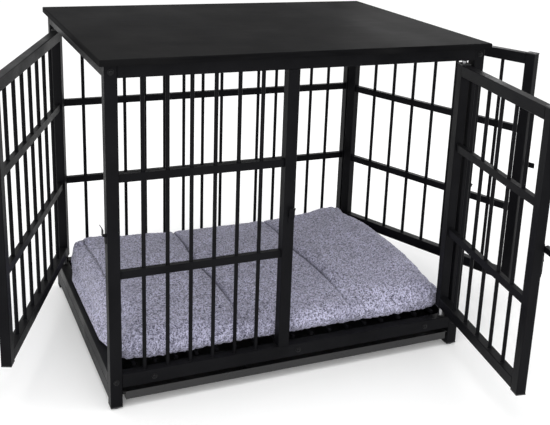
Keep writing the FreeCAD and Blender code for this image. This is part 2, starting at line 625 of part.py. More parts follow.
# One door, made with its hinge line on the z axis and its free edge along +x, then swung to its place
def make_door(name, reach, reach_length, count, outer, hinge, turn):
    def hang(label, pieces):
        part = doc.addObject("Part::Compound", "door_group")
        part.Links = pieces
        swing = FreeCAD.Rotation(FreeCAD.Vector(0, 0, 1), 90)
        part.Placement = FreeCAD.Placement(FreeCAD.Vector(), swing)
        bind(part, "Placement.Rotation.Angle", turn)
        move(part, (*hinge, "0"))
        part.Label = label
        nodes.append(part)

    def beyond(offset, thickness):
        """Lowest y of a layer that lies a distance out from the middle of the door, on its outer side."""
        return offset if outer > 0 else f"-({offset}) - ({thickness})"

    height = f"({DOOR_HIGH} - {DOOR_LOW})"
    half_depth = "(-stile_depth/2)"
    free_low = f"({reach} - stile_width)"
    stile_span = ("stile_width", "stile_depth", height)
    clear = f"({reach} - 3*stile_width/2)"
    rail_span = (clear, "stile_depth", "stile_width")
    hang(f"{name}_door_frame", [
        tube("z", ("-stile_width/2", half_depth, DOOR_LOW), stile_span),
        tube("z", (free_low, half_depth, DOOR_LOW), stile_span),
        tube("x", ("stile_width/2", half_depth, DOOR_LOW), rail_span),
        tube("x", ("stile_width/2", half_depth, f"{DOOR_HIGH} - stile_width"), rail_span),
    ])

    places = bar_places("stile_width/2", clear, count)
    rails = []
    for level in ("low_rail_level", "high_rail_level"):
        low = ("stile_width/2", "-rail_depth/2", f"{level} - rail_height/2")
        flat = box(low, (clear, "rail_depth", "rail_height"))
        holes = []
        for place in places:
            begin = (place, "0", f"{level} - rail_height/2 - overrun")
            holes.append(octagon("z", begin, "bar_diameter + 2*bar_hole_clearance", "rail_height + 2*overrun"))
        rails.append(cut(flat, holes))
    hang(f"{name}_door_rails", rails)
    bar_span = f"{height} - 2*stile_width"
    hang(f"{name}_door_bars", [
        rod("z", (place, "0", f"{DOOR_LOW} + stile_width"), "bar_diameter", bar_span) for place in places
    ])

    inset = "(tube_wall + plug_clearance)"
    plug_span = (f"stile_width - 2*{inset}", f"stile_depth - 2*{inset}", "cap_insert + cap_thickness")
    caps = []
    for low_x in ("-stile_width/2", free_low):
        for cap_low, plug_low in (
            (f"{DOOR_LOW} - cap_thickness", f"{DOOR_LOW} - cap_thickness"),
            (DOOR_HIGH, f"{DOOR_HIGH} - cap_insert"),
        ):
            lid = box((low_x, half_depth, cap_low), ("stile_width", "stile_depth", "cap_thickness"))
            plug = box((f"{low_x} + {inset}", f"{half_depth} + {inset}", plug_low), plug_span)
            cap = fuse([lid, plug])
            if low_x != free_low:
                bore_span = "cap_insert + cap_thickness + 2*overrun"
                bore_low = ("0", "0", f"{plug_low} - overrun")
                bore = octagon("z", bore_low, "pin_diameter + 2*plug_clearance", bore_span)
                cap = cut(cap, [bore])
            caps.append(cap)
    hang(f"{name}_door_caps", caps)

    pins = []
    for stem_low, stem_high, collar_low, collar_high in (
        (f"({FLOOR_TOP} + bush_flange - pin_reach)", f"({DOOR_LOW} + cap_insert)",
         f"({FLOOR_TOP} + bush_flange + thrust_clearance)", f"({DOOR_LOW} - cap_thickness)"),
        (f"({DOOR_HIGH} - cap_insert)", f"({TOP_BEAM_LOW} - bush_flange + pin_reach)",
         f"({DOOR_HIGH} + cap_thickness)", f"({TOP_BEAM_LOW} - bush_flange - thrust_clearance)"),
    ):
        stem = rod("z", ("0", "0", stem_low), "pin_diameter", f"{stem_high} - {stem_low}")
        collar = prism(6, "z", ("0", "0", collar_low), "pin_collar_diameter/2", f"{collar_high} - {collar_low}")
        pins.append(fuse([stem, collar]))
    hang(f"{name}_door_pivot_pins", pins)

    latch_mid = f"({reach} - stile_width/2)"
    plate_back = beyond("stile_depth/2", "latch_plate_thickness")
    plate_low = (f"{latch_mid} - latch_plate_width/2", plate_back, "latch_level")
    base = box(plate_low, ("latch_plate_width", "latch_plate_thickness", "latch_plate_height"))
    plate_face = "(stile_depth/2 + latch_plate_thickness)"
    slider_face = f"({plate_face} + latch_slider_gap + latch_slider_thickness)"
    rivet_level = "latch_level + latch_rivet_rise"
    shank = "(latch_slider_thickness + 2*latch_slider_gap)"
    stem_start = (latch_mid, beyond(plate_face, shank), rivet_level)
    head_start = (latch_mid, beyond(f"({plate_face} + {shank})", "latch_rivet_head_height"), rivet_level)
    rivet = fuse([
        rod("y", stem_start, "latch_rivet_diameter", shank),
        rod("y", head_start, "latch_rivet_head", "latch_rivet_head_height"),
    ])
    hang(f"{name}_latch_plate", [base, rivet])

    middle = reach_length - size["stile_width"] / 2
    low = size["latch_level"] + size["latch_end_margin"]
    high = size["latch_level"] + size["latch_plate_height"] - size["latch_end_margin"]
    left = middle - size["latch_slider_width"] / 2
    right = middle + size["latch_slider_width"] / 2
    tip = reach_length + size["free_gap"] + size["keeper_inset"] + size["keeper_width"]
    tongue = high - size["latch_tongue_height"]
    strip = [(left, low), (right, low), (right, tongue), (tip, tongue), (tip, high), (left, high)]
    slot_half = size["latch_rivet_diameter"] / 2 + size["latch_slot_clearance"]
    slot_low = size["latch_level"] + size["latch_rivet_rise"] - slot_half
    slot_high = slot_low + size["latch_travel"] + 2 * slot_half
    slot = [
        (middle - slot_half, slot_low), (middle + slot_half, slot_low),
        (middle + slot_half, slot_high), (middle - slot_half, slot_high),
    ]
    slider = plate([strip, slot], "latch_slider_thickness")
    slider_gap_face = f"{plate_face} + latch_slider_gap"
    move(slider, ("0", slider_face if outer > 0 else f"-({slider_gap_face})", "0"))
    hang(f"{name}_latch_slider", [slider])

    knob_place = f"{latch_mid} + latch_slider_width/2"
    knob_level = "latch_level + latch_plate_height - latch_end_margin - knob_diameter/2"
    stem_start = (knob_place, beyond(slider_face, "knob_stem"), knob_level)
    grip_start = (knob_place, beyond(f"({slider_face} + knob_stem)", "knob_length"), knob_level)
    knob = fuse([
        rod("y", stem_start, "knob_stem_diameter", "knob_stem"),
        rod("y", grip_start, "knob_diameter", "knob_length"),
    ])
    hang(f"{name}_latch_knob", [knob])


def make_doors():
    hinge_line = size["crate_width"] / 2 - size["tube_width"] - size["hinge_offset"]
    front_reach = hinge_line - size["mid_post_offset"] - size["tube_width"] / 2 - size["free_gap"]
    side_reach = size["crate_depth"] - 2 * size["tube_width"] - size["hinge_offset"] - size["free_gap"]
    front_hinge = (FRONT_HINGE, FRONT_LINE)
    side_bars = size["side_door_bars"]
    make_door("front", FRONT_REACH, front_reach, size["front_door_bars"], 1, front_hinge, "180 + front_door_open")
    make_door("left", SIDE_REACH, side_reach, side_bars, -1, (LEFT_LINE, SIDE_HINGE), "270 - left_door_open")
    make_door("right", SIDE_REACH, side_reach, side_bars, 1, (RIGHT_LINE, SIDE_HINGE), "270 + right_door_open")


make_board()
make_posts()
make_top_beams()
make_floor_beams()
make_feet()
make_fixed_walls()
make_floor()
make_tray()
make_cushion()
make_fasteners()
make_bushes()
make_keepers()
make_doors()
doc.recompute()

# Every object has to be sound before anything is written
for thing in doc.Objects:
    if "Invalid" in thing.State or "Error" in thing.State:
        raise RuntimeError(f"{thing.Name} failed: {thing.State}")
for piece in nodes:
    if piece.Shape.isNull() or not piece.Shape.isValid():
        raise RuntimeError(f"{piece.Label} has no sound shape")

os.makedirs("parts", exist_ok=True)
for piece in nodes:
    piece.Shape.exportStep(f"parts/{piece.Label}.step")
    box_of = piece.Shape.BoundBox
    print(f"{piece.Label}: {len(piece.Shape.Solids)} solids, {piece.Shape.Volume:.0f} mm3, "
          f"x {box_of.XMin:.1f} {box_of.XMax:.1f} y {box_of.YMin:.1f} {box_of.YMax:.1f} z {box_of.ZMin:.1f} {box_of.ZMax:.1f}")
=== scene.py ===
"""Looks of the pet crate: coated steel cage, board top, tray, plush mat and three barred doors.

Metres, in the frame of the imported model: x to the right seen from the front, y to the back, and z up
from the floor.
"""
import math

import bmesh
import bpy
import numpy as np
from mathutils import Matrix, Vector


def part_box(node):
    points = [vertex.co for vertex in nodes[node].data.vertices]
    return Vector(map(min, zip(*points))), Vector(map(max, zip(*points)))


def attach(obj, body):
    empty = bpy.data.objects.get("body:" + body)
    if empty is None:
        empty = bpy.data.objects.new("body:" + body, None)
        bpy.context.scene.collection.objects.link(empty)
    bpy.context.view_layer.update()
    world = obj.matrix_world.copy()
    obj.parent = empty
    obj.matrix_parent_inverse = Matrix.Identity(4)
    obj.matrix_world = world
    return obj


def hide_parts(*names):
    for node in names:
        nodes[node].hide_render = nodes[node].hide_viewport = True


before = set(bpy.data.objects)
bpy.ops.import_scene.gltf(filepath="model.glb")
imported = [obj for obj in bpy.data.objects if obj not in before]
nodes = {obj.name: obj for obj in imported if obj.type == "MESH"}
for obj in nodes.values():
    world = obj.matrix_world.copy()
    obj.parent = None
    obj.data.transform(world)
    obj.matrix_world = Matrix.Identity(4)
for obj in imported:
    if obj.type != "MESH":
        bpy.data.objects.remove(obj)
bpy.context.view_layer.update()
scene = bpy.context.scene
scene.view_settings.view_transform = "Standard"

# The cage: square tube posts and beams with round bars through flat rails.
# Mild steel, welded into panels, then coated with a fine-grained black powder.
# The posts are bolted to the side beams, so the panels ship flat.
dust_colour = (0.16, 0.155, 0.15)
grain_strength = 0.35
coat_specular = 0.055


def texture_group(name, inputs, outputs):
    """An empty shader node group with named numbers in and out, and its two end nodes."""
    tree = bpy.data.node_groups.new(name, "ShaderNodeTree")
    for title, value in inputs.items():
        socket = tree.interface.new_socket(title, in_out="INPUT", socket_type="NodeSocketFloat")
        socket.default_value = value
    for title in outputs:
        tree.interface.new_socket(title, in_out="OUTPUT", socket_type="NodeSocketFloat")
    return tree, tree.nodes.new("NodeGroupInput"), tree.nodes.new("NodeGroupOutput")


def calc(tree, operation, first, second=0.0):
    """One sum of two numbers, each a socket or a plain value; the result's socket."""
    node = tree.nodes.new("ShaderNodeMath")
    node.operation = operation
    for slot, value in zip(node.inputs, (first, second)):
        if isinstance(value, (int, float)):
            slot.default_value = value
        else:
            tree.links.new(value, slot)
    return node.outputs[0]


def noise(tree, vector, scale, detail=3.0, roughness=0.55):
    """Smooth noise from 0 to 1 over a vector, at a scale that is a socket or a value."""
    node = tree.nodes.new("ShaderNodeTexNoise")
    node.inputs["Detail"].default_value = detail
    node.inputs["Roughness"].default_value = roughness
    tree.links.new(vector, node.inputs["Vector"])
    if isinstance(scale, (int, float)):
        node.inputs["Scale"].default_value = scale
    else:
        tree.links.new(scale, node.inputs["Scale"])
    return node.outputs["Fac"]


def remap(tree, value, low, high, new_low, new_high):
    """A number carried from one range to another, held at the ends."""
    node = tree.nodes.new("ShaderNodeMapRange")
    tree.links.new(value, node.inputs["Value"])
    titles = ("From Min", "From Max", "To Min", "To Max")
    for title, number in zip(titles, (low, high, new_low, new_high)):
        node.inputs[title].default_value = number
    return node.outputs["Result"]


# Orange peel of a sprayed or moulded skin: fine grain as height, broad drift as tone
skin_grain, grain_in, grain_out = texture_group(
    "skin_grain", {"Grain": 900.0, "Drift": 9.0}, ("Height", "Tone")
)
grain_place = skin_grain.nodes.new("ShaderNodeTexCoord").outputs["Object"]
fine_grain = noise(skin_grain, grain_place, grain_in.outputs["Grain"], detail=2.0)
broad_drift = noise(skin_grain, grain_place, grain_in.outputs["Drift"], detail=5.0, roughness=0.6)
skin_tone = remap(skin_grain, broad_drift, 0.35, 0.65, 0.0, 1.0)
skin_grain.links.new(fine_grain, grain_out.inputs["Height"])
skin_grain.links.new(skin_tone, grain_out.inputs["Tone"])

# Dust that settles on faces that look up, in soft patches
settled_dust, dust_in, dust_out = texture_group("settled_dust", {"Amount": 0.2, "Patch": 14.0}, ("Dust",))
dust_coords = settled_dust.nodes.new("ShaderNodeTexCoord")
dust_split = settled_dust.nodes.new("ShaderNodeSeparateXYZ")
settled_dust.links.new(dust_coords.outputs["Normal"], dust_split.inputs[0])
dust_slope = calc(settled_dust, "MAXIMUM", dust_split.outputs["Z"], 0.0)
dust_up = calc(settled_dust, "POWER", dust_slope, 3.0)
dust_noise = noise(
    settled_dust, dust_coords.outputs["Object"], dust_in.outputs["Patch"], detail=6.0, roughness=0.65
)
dust_patch = remap(settled_dust, dust_noise, 0.4, 0.75, 0.15, 1.0)
dust_mask = calc(settled_dust, "MULTIPLY", dust_up, dust_patch)
dust_share = calc(settled_dust, "MULTIPLY", dust_mask, dust_in.outputs["Amount"])
settled_dust.links.new(dust_share, dust_out.inputs["Dust"])


def group_node(tree, group, values):
    """One use of a node group with its own values."""
    node = tree.nodes.new("ShaderNodeGroup")
    node.node_tree = group
    for title, value in values.items():
        node.inputs[title].default_value = value
    return node


def blend_colour(tree, factor, first, second):
    """Two colours mixed by a factor; each is a socket or a plain colour."""
    node = tree.nodes.new("ShaderNodeMix")
    node.data_type = "RGBA"
    tree.links.new(factor, node.inputs[0])
    for slot, value in ((node.inputs[6], first), (node.inputs[7], second)):
        if isinstance(value, tuple):
            slot.default_value = (*value, 1.0)
        else:
            tree.links.new(value, slot)
    return node.outputs[2]


def relief(tree, shader, height, strength, distance):
    """A bump on a shader from a height."""
    node = tree.nodes.new("ShaderNodeBump")
    node.inputs["Strength"].default_value = strength
    node.inputs["Distance"].default_value = distance
    tree.links.new(height, node.inputs["Height"])
    tree.links.new(node.outputs["Normal"], shader.inputs["Normal"])


def new_material(name):
    """A material with its node tree and its shader."""
    material = bpy.data.materials.new(name)
    material.use_nodes = True
    return material, material.node_tree, material.node_tree.nodes["Principled BSDF"]


def skinned(name, deep, light, rough, grain, depth, dust, drift=9.0, metallic=0.0):
    """A sprayed, plated or moulded finish: two tones, grain relief, uneven gloss and settled dust."""
    material, tree, shader = new_material(name)
    texture = group_node(tree, skin_grain, {"Grain": grain, "Drift": drift})
    settled = group_node(tree, settled_dust, {"Amount": dust})
    toned = blend_colour(tree, texture.outputs["Tone"], deep, light)
    dusted = blend_colour(tree, settled.outputs["Dust"], toned, dust_colour)
    tree.links.new(dusted, shader.inputs["Base Color"])
    gloss = remap(tree, texture.outputs["Tone"], 0.0, 1.0, *rough)
    tree.links.new(calc(tree, "ADD", gloss, settled.outputs["Dust"]), shader.inputs["Roughness"])
    shader.inputs["Metallic"].default_value = metallic
    relief(tree, shader, texture.outputs["Height"], grain_strength, depth)
    return material


def dress(material, names):
    """Give CAD nodes a finish in every material slot."""
    for name in names:
        node = nodes[name]
        node.data.materials.clear()
        node.data.materials.append(material)


black_coat = skinned(
    "black_coat",
    deep=(0.0035, 0.0035, 0.0043),
    light=(0.0062, 0.0062, 0.0073),
    rough=(0.36, 0.5),
    grain=1100.0,
    depth=0.00035,
    dust=0.03,
)
black_coat.node_tree.nodes["Principled BSDF"].inputs["Specular IOR Level"].default_value = coat_specular
cage_steel = [
    "front_left_post", "front_right_post", "back_left_post", "back_right_post", "front_mid_post",
    "front_top_beam", "back_top_beam", "left_top_beam", "right_top_beam",
    "front_bottom_beam", "back_bottom_beam", "left_bottom_beam", "right_bottom_beam",
    "front_panel_rails", "front_panel_bars", "back_panel_rails", "back_panel_bars",
    "floor_rods", "floor_crossbars", "tray_runners", "latch_keepers",
]
dress(black_coat, cage_steel)
door_names = ("front", "left", "right")
for door in door_names:
    dress(black_coat, [f"{door}_door_frame", f"{door}_door_rails", f"{door}_door_bars"])

# Board top: one flat panel of dense fibreboard with a black wood-print film.
# The film wraps the softened upper edge, and screws hold the board from below.
film_deep = (0.0045, 0.0045, 0.005)
film_light = (0.0075, 0.0075, 0.0082)
film_haze = (0.014, 0.0137, 0.0137)
film_specular = 0.0015
grain_stretch = (3.0, 60.0, 60.0)
cloud_stretch = (4.2, 1.1, 1.0)


def stretched(tree, vector, scale):
    """A vector with each axis times its own scale."""
    node = tree.nodes.new("ShaderNodeMapping")
    node.inputs["Scale"].default_value = scale
    tree.links.new(vector, node.inputs["Vector"])
    return node.outputs["Vector"]


board_film, board_tree, board_shader = new_material("board_film")
board_place = board_tree.nodes.new("ShaderNodeTexCoord").outputs["Object"]
grain_run = stretched(board_tree, board_place, grain_stretch)
film_grain = noise(board_tree, grain_run, 3.0, detail=8.0, roughness=0.6)
cloud_run = stretched(board_tree, board_place, cloud_stretch)
film_clouds = noise(board_tree, cloud_run, 1.0, detail=3.0, roughness=0.5)
film_dust = group_node(board_tree, settled_dust, {"Amount": 0.05, "Patch": 6.0})
grain_share = remap(board_tree, film_grain, 0.35, 0.7, 0.0, 1.0)
film_tone = blend_colour(board_tree, grain_share, film_deep, film_light)
haze_share = remap(board_tree, film_clouds, 0.45, 0.7, 0.0, 0.5)
film_cloud_tone = blend_colour(board_tree, haze_share, film_tone, film_haze)
film_colour = blend_colour(board_tree, film_dust.outputs["Dust"], film_cloud_tone, dust_colour)
board_tree.links.new(film_colour, board_shader.inputs["Base Color"])
film_rough = calc(
    board_tree, "ADD",
    remap(board_tree, film_clouds, 0.3, 0.7, 0.34, 0.46),
    remap(board_tree, film_grain, 0.3, 0.7, -0.03, 0.04),
)
board_tree.links.new(film_rough, board_shader.inputs["Roughness"])
relief(board_tree, board_shader, film_grain, strength=0.2, distance=0.0003)
board_shader.inputs["Specular IOR Level"].default_value = film_specular
dress(board_film, ["top_board"])

# Feet: small glides that keep the steel off the floor.
# Moulded in black plastic, each is pressed into the open end of a post.
glide_plastic = skinned(
    "glide_plastic",
    deep=(0.010, 0.010, 0.0105),
    light=(0.017, 0.017, 0.018),
    rough=(0.45, 0.6),
    grain=1600.0,
    depth=0.0002,
    dust=0.03,
)
dress(glide_plastic, ["foot_glides"])

# Tray: a shallow pressed pan with a rim all round, in satin black enamel.
# It slides on the angle runners below the side beams and comes out to the front.
tray_enamel = skinned(
    "tray_enamel",
    deep=(0.0085, 0.0085, 0.0092),
    light=(0.0125, 0.0125, 0.0135),
    rough=(0.24, 0.36),
    grain=500.0,
    depth=0.0002,
    dust=0.12,
    drift=5.0,
)
dress(tray_enamel, ["tray"])

# Bolts, nuts and screws: the bolts that show are blackened steel with button heads on plain washers.
# Their heads have hexagon sockets, and the hidden nuts and screws are plated with zinc.
bright_zinc = skinned(
    "bright_zinc",
    deep=(0.30, 0.30, 0.31),
    light=(0.45, 0.45, 0.46),
    rough=(0.26, 0.42),
    grain=700.0,
    depth=0.0002,
    dust=0.05,
    drift=90.0,
    metallic=1.0,
)
black_oxide = skinned(
    "black_oxide",
    deep=(0.008, 0.008, 0.009),
    light=(0.016, 0.016, 0.017),
    rough=(0.32, 0.45),
    grain=800.0,
    depth=0.0002,
    dust=0.05,
    drift=120.0,
    metallic=0.8,
)
dress(bright_zinc, ["beam_end_nuts", "front_beam_nuts", "board_screws"])
for door in door_names:
    dress(bright_zinc, [f"{door}_door_pivot_pins"])


def grid_mesh(name, points):
    """Skins from an array of copies by rows by columns of points.

    Each cell of four neighbours is one face, the last column joins the first, and rows that shrink to a
    point, or that end where they began, close.
    """
    copies, rows, columns, _ = points.shape
    row, column = np.meshgrid(np.arange(rows - 1), np.arange(columns), indexing="ij")
    after = (column + 1) % columns
    here = row * columns
    above = here + columns
    cells = np.stack([here + column, here + after, above + after, above + column], -1).reshape(-1, 4)
    faces = (cells[None] + (np.arange(copies) * rows * columns)[:, None, None]).reshape(-1, 4)
    mesh = bpy.data.meshes.new(name)
    mesh.from_pydata(points.reshape(-1, 3).tolist(), [], faces.tolist())
    work = bmesh.new()
    work.from_mesh(mesh)
    bmesh.ops.remove_doubles(work, verts=work.verts, dist=1e-6)
    bmesh.ops.dissolve_degenerate(work, edges=work.edges, dist=1e-7)
    bmesh.ops.recalc_face_normals(work, faces=work.faces)
    work.to_mesh(mesh)
    work.free()
    piece = bpy.data.objects.new(name, mesh)
    scene.collection.objects.link(piece)
    return piece


def soften(piece, angle):
    """Shade a piece smooth, with its edges sharper than an angle left crisp."""
    mesh = piece.data
    mesh.shade_smooth()
    mesh.set_sharp_from_angle(angle=math.radians(angle))


def turned(profile, columns, sides=()):
    """A profile of radius and height carried round z.

    The rows named in sides follow a hexagon: their radius is divided by the cosine of the angle from the
    middle of the nearest flat.
    """
    angle = np.arange(columns) * 2 * math.pi / columns
    radius = np.repeat(np.array(profile)[:, :1], columns, axis=1)
    corner = (angle + math.pi / 6) % (math.pi / 3) - math.pi / 6
    for index in sides:
        radius[index] = radius[index] / np.cos(corner)
    height = np.repeat(np.array(profile)[:, 1:], columns, axis=1)
    return np.stack([radius * np.cos(angle), radius * np.sin(angle), height], -1)


def placed(points, places, along):
    """Copies of a grid of points at several places, each with its z turned to a level direction."""
    copies = []
    for place, direction in zip(places, along):
        out = np.array(direction, float)
        side = np.cross([0.0, 0.0, 1.0], out)
        basis = np.stack([side, np.array([0.0, 0.0, 1.0]), out])
        copies.append(points @ basis + np.array(place))
    return np.stack(copies)


post_low, post_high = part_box("front_left_post")
floor_beam_low, floor_beam_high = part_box("front_bottom_beam")
top_beam_low, top_beam_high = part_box("front_top_beam")
half_depth = -post_low.y
post_line = -(post_low.x + post_high.x) / 2
floor_beam_level = (floor_beam_low.z + floor_beam_high.z) / 2
top_beam_level = (top_beam_low.z + top_beam_high.z) / 2
front_bolt_line = 0.39
washer_radius = 0.0078
washer_top = 0.001
washer_chamfer = 0.0002
head_radius = 0.006
head_top = 0.0036
head_rim = 0.0003
crown_radius = 0.0031
socket_flat = 0.002
socket_depth = 0.0022
socket_lip = 0.0001
socket_chamfer = 0.0003
bolt_columns = 24
crown_rows = 7
socket_rows = (1, 2, 3)

# From the socket's floor, over its lip and the round crown, down to the washer's underside
crown = np.linspace(0.0, math.pi / 2, crown_rows)
crown_out = crown_radius + (head_radius - crown_radius) * np.sin(crown)
crown_up = washer_top + head_rim + (head_top - washer_top - head_rim) * np.cos(crown)
bolt_profile = [
    (0.0, head_top - socket_depth),
    (socket_flat, head_top - socket_depth),
    (socket_flat, head_top - socket_lip),
    (socket_flat + socket_chamfer, head_top),
    *zip(crown_out, crown_up),
    (head_radius, washer_top),
    (washer_radius - washer_chamfer, washer_top),
    (washer_radius, washer_top - washer_chamfer),
    (washer_radius, 0.0),
    (0.0, 0.0),
]
bolt_places = []
bolt_directions = []
for x in (-post_line, post_line):
    for z in (floor_beam_level, top_beam_level):
        for side in (-1.0, 1.0):
            bolt_places.append((x, side * half_depth, z))
            bolt_directions.append((0.0, side, 0.0))
for x in (-front_bolt_line, 0.0, front_bolt_line):
    bolt_places.append((x, -half_depth, floor_beam_level))
    bolt_directions.append((0.0, -1.0, 0.0))
bolt_grid = turned(bolt_profile, bolt_columns, socket_rows)
bolt_heads = grid_mesh("bolt_heads", placed(bolt_grid, bolt_places, bolt_directions))
soften(bolt_heads, 35)
bolt_heads.data.materials.append(black_oxide)
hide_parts("frame_bolts")
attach(bolt_heads, "cage")

# Weld beads: a small uneven fillet where each bar meets a beam or a door frame.
# They are laid before coating, so they are under the same black powder as the steel.
bar_radius = 0.005
bead = 0.0022
bead_sink = 0.0002
bead_columns = 14
bead_rows = 4
stile = 0.03
front_panel_bars = 6
back_panel_bars = 14
front_door_bars = 5
side_door_bars = 7
front_hinge_x = 0.449
side_hinge_y = 0.324
front_door_reach = 0.471
side_door_reach = 0.664
front_swing = 81.4
left_swing = 21.8
right_swing = 22.5
wall_line = -(post_low.y + post_high.y) / 2
mid_post_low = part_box("front_mid_post")[0]
door_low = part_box("front_door_frame")[0].z
door_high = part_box("front_door_frame")[1].z


def bead_ring(columns, rows):
    """A quarter-round fillet round a bar that stands on a face, closed by a wall inside the bar.

    Radius falls as height rises along a quarter circle, and the bead's size wobbles slowly with the angle.
    """
    angle = np.arange(columns) * 2 * math.pi / columns
    bend = np.linspace(0.0, math.pi / 2, rows)[:, None]
    size = bead * (1 + 0.14 * np.sin(3 * angle + 0.6) + 0.08 * np.sin(7 * angle))
    radius = bar_radius - bead_sink + size * (1 - np.sin(bend))
    height = size * (1 - np.cos(bend))
    inner = np.full((1, columns), bar_radius - 4 * bead_sink)
    radius = np.concatenate([radius, inner, inner, radius[:1]])
    height = np.concatenate([height, height[-1:], height[:1], height[:1]])
    return np.stack([radius * np.cos(angle), radius * np.sin(angle), height], -1)


def beads(name, centres, low, high, body):
    """Rings at both ends of a row of upright bars."""
    ring = bead_ring(bead_columns, bead_rows)
    flipped = ring * np.array([1.0, 1.0, -1.0])
    feet = [ring + np.array([x, y, low]) for x, y in centres]
    heads = [flipped + np.array([x, y, high]) for x, y in centres]
    piece = grid_mesh(name, np.stack(feet + heads))
    piece.data.shade_smooth()
    piece.data.materials.append(black_coat)
    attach(piece, body)


def bar_row(start, end, count):
    """Centres of bars at an even pitch between two faces."""
    return start + (end - start) * np.arange(1, count + 1) / (count + 1)


front_row = [(x, -wall_line) for x in bar_row(post_high.x, mid_post_low.x, front_panel_bars)]
back_row = [(x, wall_line) for x in bar_row(post_high.x, -post_high.x, back_panel_bars)]
beads("cage_weld_beads", front_row + back_row, floor_beam_high.z, top_beam_low.z, "cage")

# Each door's hinge in the plan, its direction in degrees, its length from the hinge and its count of bars
hinges = {
    "front": ((front_hinge_x, -wall_line), 180 + front_swing, front_door_reach, front_door_bars),
    "left": ((-post_line, side_hinge_y), 270 - left_swing, side_door_reach, side_door_bars),
    "right": ((post_line, side_hinge_y), 270 + right_swing, side_door_reach, side_door_bars),
}


def on_door(door, along, across):
    """A point of a door in the plan, from its distance along the door and out of its middle."""
    (x, y), turn, _, _ = hinges[door]
    swing = math.radians(turn)
    return (
        x + along * math.cos(swing) - across * math.sin(swing),
        y + along * math.sin(swing) + across * math.cos(swing),
    )


for door in door_names:
    door_reach, bar_count = hinges[door][2:]
    row = [on_door(door, along, 0.0) for along in bar_row(stile / 2, door_reach - stile, bar_count)]
    beads(f"{door}_door_weld_beads", row, door_low + stile, door_high - stile, f"{door}_door")

# Mat: a plush cover with short curly pile over loose filling, sewn front to back into three sections.
# It is stuffed through its left end, which a last seam closes.
# It lies loose on the floor grid and is held in by the walls.
pad_low, pad_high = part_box("cushion")
half_pad = (pad_high.x - pad_low.x) / 2
pad_middle = np.array([(pad_low.x + pad_high.x) / 2, (pad_low.y + pad_high.y) / 2, pad_low.z])
seam_places = (-half_pad / 3, half_pad / 3)
closing_seam = -0.432
cover_slack = np.array([0.998, 0.998, 0.95])
pad_voxel = 0.005
sew_width = 0.007
held_height = 0.003
stuffing_pressure = 4.0
stuffing_frames = 20
most_swell = 0.011
side_give = 0.35
most_reach = 0.4705
pile_room = 0.003

# How full the cover is, as shares of the CAD height
loft = 1.1
left_end_loft = 0.24
right_end_loft = 0.38
end_start = 0.3
end_run = 0.16
seam_loft = 0.13
seam_reach = 0.04

# How far the seams wander from where they were marked
seam_drift = 0.022
seam_bow = 0.02
bow_middle = 0.04
bow_width = 0.14

# The lip of the cover that lies on the side beams, under the doors
lip_top = 0.118
lip_fade = 0.014
lip_reach = 0.024
lip_start = 0.37
lip_run = 0.098
corner_line = 0.29
corner_run = 0.1
lip_droop = 0.0065
droop_start = 0.45
droop_run = 0.02

# The furrow that each seam pulls into the pile, shallow at the front
groove_width = 0.0045
groove_depth = 0.0042
closing_groove = 0.6
groove_front = -0.31
groove_run = 0.16
least_groove = 0.35
# Share of the pile mark taken out in the seam furrows, which paints shade there
furrow_shade = 0.75

# Pile: large and small tufts, and locks along the front edge
pile_top = 0.0046
pile_side = 0.002
large_cell = 0.0085
small_cell = 0.0048
large_share = 0.55
tuft_spread = 0.95
lock_cell = 0.015
lock_reach = 0.006
lock_spread = 0.9
flat_lean = 0.75
under_start = 0.001
under_run = 0.006


def coordinates(mesh):
    """A mesh's points as an array."""
    points = np.empty(len(mesh.vertices) * 3)
    mesh.vertices.foreach_get("co", points)
    return points.reshape(-1, 3)


def put_coordinates(mesh, points):
    """Move a mesh's points to an array."""
    mesh.vertices.foreach_set("co", points.astype(np.float32).ravel())
    mesh.update()


def baked(piece):
    """Apply a piece's modifiers to its mesh."""
    graph = bpy.context.evaluated_depsgraph_get()
    mesh = bpy.data.meshes.new_from_object(piece.evaluated_get(graph))
    piece.modifiers.clear()
    old = piece.data
    piece.data = mesh
    bpy.data.meshes.remove(old)


def mark(mesh, name, values):
    """One number at each point of a mesh, under a name that a material can read."""
    layer = mesh.attributes.new(name, "FLOAT", "POINT")
    layer.data.foreach_set("value", values.astype(np.float32))


def ramp(value, start, run):
    """0 up to a start, 1 past a run beyond it, straight in between; a run below zero goes the other way."""
    return np.clip((value - start) / run, 0.0, 1.0)


def bell(distance, width):
    """1 on a line, falling to each side as the exponential of minus the square of distance over width."""
    return np.exp(-((distance / width) ** 2))


def tuft_distance(points, cell, seed):
    """Distance, in cells, to the nearest of one scattered point in each cell of a cubic grid.

    The scattered points come from whole-number hashes of the cell, and 27 neighbours are compared.
    """
    scaled = points / cell
    home = np.floor(scaled).astype(np.int64)
    best = np.full(len(points), 9.0)
    for step in np.ndindex(3, 3, 3):
        corner = home + np.array(step) - 1
        mixed = corner * np.array([73856093, 19349663, 83492791])
        key = mixed[:, 0] ^ mixed[:, 1] ^ mixed[:, 2] ^ (seed * 2654435761)
        spread = []
        for turn in (1, 2, 3):
            key = (key * 1103515245 + 12345 * turn) & 0x7FFFFFFF
            spread.append((key >> 8) % 4096 / 4096.0)
        gap = corner + np.stack(spread, -1) - scaled
        best = np.minimum(best, np.einsum("ij,ij->i", gap, gap))
    return np.sqrt(best)


def tufts(points, cell, seed, spread):
    """Round tufts: 1 at each scattered point, less the square of the distance over a spread."""
    return 1 - np.clip(tuft_distance(points, cell, seed) / spread, 0.0, 1.0) ** 2


def brushed_waves(x, y):
    """Slow waves from 0 to 1: a sine over x, bent by a sine over y, times another sine over y."""
    return 0.5 + 0.5 * np.sin(x * 23.0 + 1.7 * np.sin(y * 17.0)) * np.sin(y * 19.0 + 0.8)


